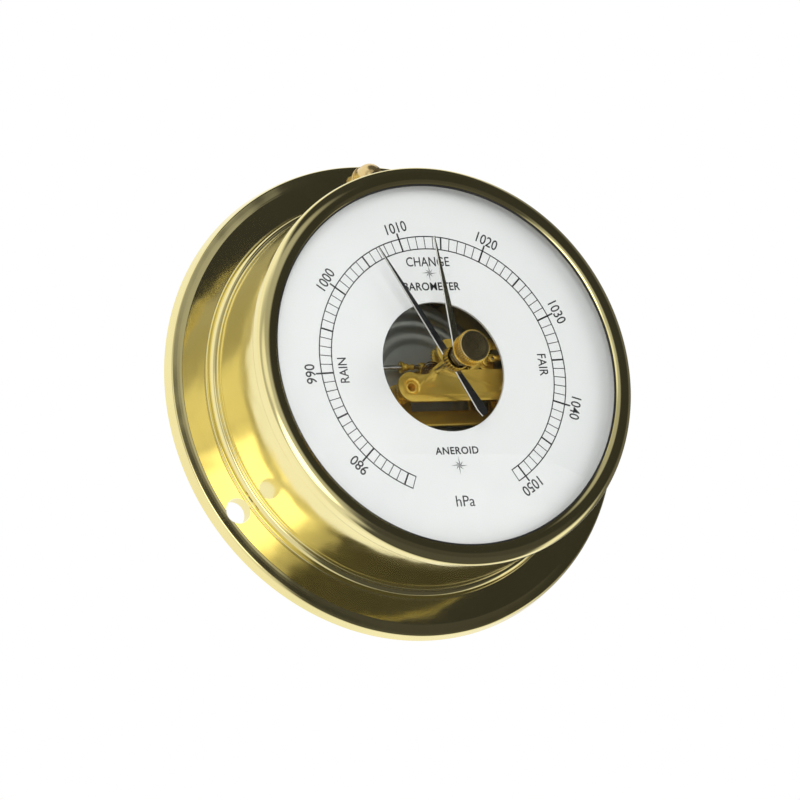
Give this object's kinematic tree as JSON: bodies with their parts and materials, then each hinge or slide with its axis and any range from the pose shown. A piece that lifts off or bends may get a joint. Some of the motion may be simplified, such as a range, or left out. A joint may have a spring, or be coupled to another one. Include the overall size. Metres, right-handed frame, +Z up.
{
  "type": "aneroid barometer",
  "caption": "Ship's aneroid barometer with a flanged round case, domed glass, white dial with an open middle, pointer, set hand on a knurled knob, and a capsule, lever and gear movement.",
  "frame": {"origin": "centre of the flange's back face, on the wall", "axes": "+Z up, +X to the reader's right, the dial faces -Y and the wall is on the +Y side"},
  "size_m": [0.125, 0.0637, 0.125],
  "materials": {
    "polished_brass": "polished, mirror bright",
    "glass": "clear mineral glass",
    "seal": "black seal",
    "dial_white": "off-white enamel with black print",
    "back_plate_paint": "black lacquer",
    "movement_brass": "satin lacquered",
    "plated_base": "zinc plated",
    "steel": "turned bright",
    "capsule_nickel": "dull grey nickel",
    "spring_bronze": "bronze strip",
    "pointer_black": "black enamel",
    "set_hand_brass": "oxidised olive brass",
    "collar_dark": "dark oxidised brass"
  },
  "bodies": {
    "case": {"case_shell": "polished_brass", "bezel": "polished_brass", "wall_screw": "polished_brass", "glass": "glass", "glass_gasket": "seal", "dial": "dial_white", "back_plate": "back_plate_paint", "dial_spacer_ring": "movement_brass", "dial_posts": "movement_brass", "capsule_carrier": "movement_brass", "movement_frame": "movement_brass", "frame_pillars": "movement_brass", "train_plate": "movement_brass", "plate_posts": "movement_brass", "post_tubes": "movement_brass", "bridge_plate": "movement_brass", "hairspring_stud": "movement_brass", "movement_base": "plated_base", "back_screws": "steel", "base_screws": "steel", "frame_screws": "steel", "bridge_screw": "steel", "pivot_screws": "steel", "friction_washer": "steel", "capsule_lower": "capsule_nickel", "glass_collar": "collar_dark", "glass_nut": "collar_dark"},
    "pointer_arbor": {"pinion_arbor": "steel", "hairspring_collet": "movement_brass", "hairspring": "spring_bronze", "pointer": "pointer_black", "pointer_collet": "movement_brass"},
    "sector": {"sector_gear": "movement_brass", "sector_arbor": "steel", "drive_pin": "steel"},
    "rock_lever": {"rock_shaft": "steel", "shaft_bead": "movement_brass", "capsule_lever": "movement_brass", "drive_arm": "movement_brass"},
    "capsule_top": {"capsule_diaphragm": "capsule_nickel", "capsule_stud": "movement_brass"},
    "set_pointer": {"set_hand": "set_hand_brass", "set_hand_hub": "movement_brass", "set_spindle": "movement_brass", "set_knob": "polished_brass"},
    "adjuster": {"adjusting_screw": "steel"}
  },
  "joints": [
    {"name": "capsule_move", "type": "slide", "parent": "case", "child": "capsule_top", "axis": [0, 1, 0], "range_m": [-0.0005, 0.00069], "deforming": ["capsule_diaphragm"]},
    {"name": "rock_shaft_turn", "type": "hinge", "parent": "case", "child": "rock_lever", "pos_m": [0, -0.0183, 0.0034], "axis": [1, 0, 0], "range_deg": [-8.43, 11.67]},
    {"name": "sector_turn", "type": "hinge", "parent": "case", "child": "sector", "pos_m": [0.01621, -0.0225, 0.0032], "axis": [0, 1, 0], "range_deg": [-18, 13]},
    {"name": "pointer_turn", "type": "hinge", "parent": "case", "child": "pointer_arbor", "pos_m": [0, -0.03, 0], "axis": [0, 1, 0], "range_deg": [-129.5, 179.5], "deforming": ["hairspring"]},
    {"name": "set_hand_turn", "type": "hinge", "parent": "case", "child": "set_pointer", "pos_m": [0, -0.044, 0], "axis": [0, 1, 0], "continuous": true},
    {"name": "adjusting_screw_turn", "type": "hinge", "parent": "case", "child": "adjuster", "pos_m": [0.017, -0.003, 0], "axis": [0, 1, 0], "continuous": true}
  ],
  "couplings": [
    {"joint": "rock_shaft_turn", "follows": "capsule_move", "rad_per_m": 294.12},
    {"joint": "sector_turn", "follows": "capsule_move", "rad_per_m": -452.94},
    {"joint": "pointer_turn", "follows": "capsule_move", "rad_per_m": 4529.4}
  ]
}
